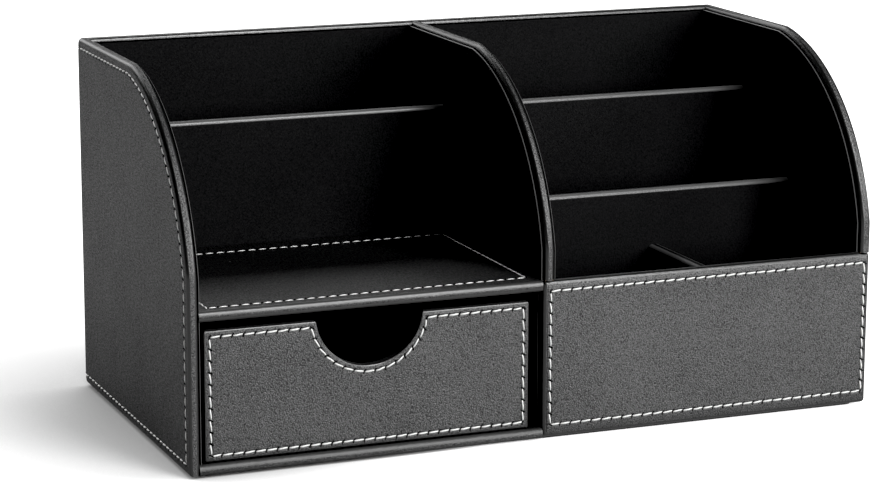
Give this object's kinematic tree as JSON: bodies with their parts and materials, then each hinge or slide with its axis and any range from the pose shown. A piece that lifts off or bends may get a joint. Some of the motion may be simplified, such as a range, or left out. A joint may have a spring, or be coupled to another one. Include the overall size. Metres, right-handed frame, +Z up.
{
  "type": "desk storage box",
  "caption": "Leather-covered desk organizer with curved uprights, rear slots, front cells, an open shelf and a sliding drawer with a finger notch under it.",
  "frame": {"origin": "middle of the underside, where the felt pad meets the table", "axes": "+X along the width to the right of someone facing the front, +Y towards the back, +Z up"},
  "size_m": [0.26, 0.1324, 0.132],
  "materials": {
    "board": "bare pressed fibreboard",
    "leather": "fine pebbled grain, satin, white stitching",
    "lining": "smooth dull leatherette",
    "felt": "short black felt"
  },
  "bodies": {
    "case": {"back_board": "board", "back_lining": "lining", "base_binding": "leather", "base_board": "board", "base_felt": "felt", "base_lining": "lining", "cross_divider_board": "board", "cross_divider_cover": "leather", "front_panel_board": "board", "front_panel_cover": "leather", "front_panel_lining": "lining", "left_divider_board": "board", "left_divider_cover": "leather", "left_side_board": "board", "left_side_lining": "lining", "middle_board": "board", "middle_edge_binding": "leather", "middle_left_lining": "lining", "middle_right_lining": "lining", "outer_cover": "leather", "right_front_divider_board": "board", "right_front_divider_cover": "leather", "right_rear_divider_board": "board", "right_rear_divider_cover": "leather", "right_side_board": "board", "right_side_lining": "lining", "shelf_board": "board", "shelf_cover": "leather"},
    "drawer": {"drawer_back_lining": "lining", "drawer_back_wall": "board", "drawer_floor": "board", "drawer_floor_felt": "felt", "drawer_front_board": "board", "drawer_front_cover": "leather", "drawer_front_lining": "lining", "drawer_left_lining": "lining", "drawer_left_wall": "board", "drawer_right_lining": "lining", "drawer_right_wall": "board", "drawer_wrap": "leather"}
  },
  "joints": [
    {"name": "drawer_slide", "type": "slide", "parent": "case", "child": "drawer", "axis": [0, -1, 0], "range_m": [0, 0.07]}
  ]
}
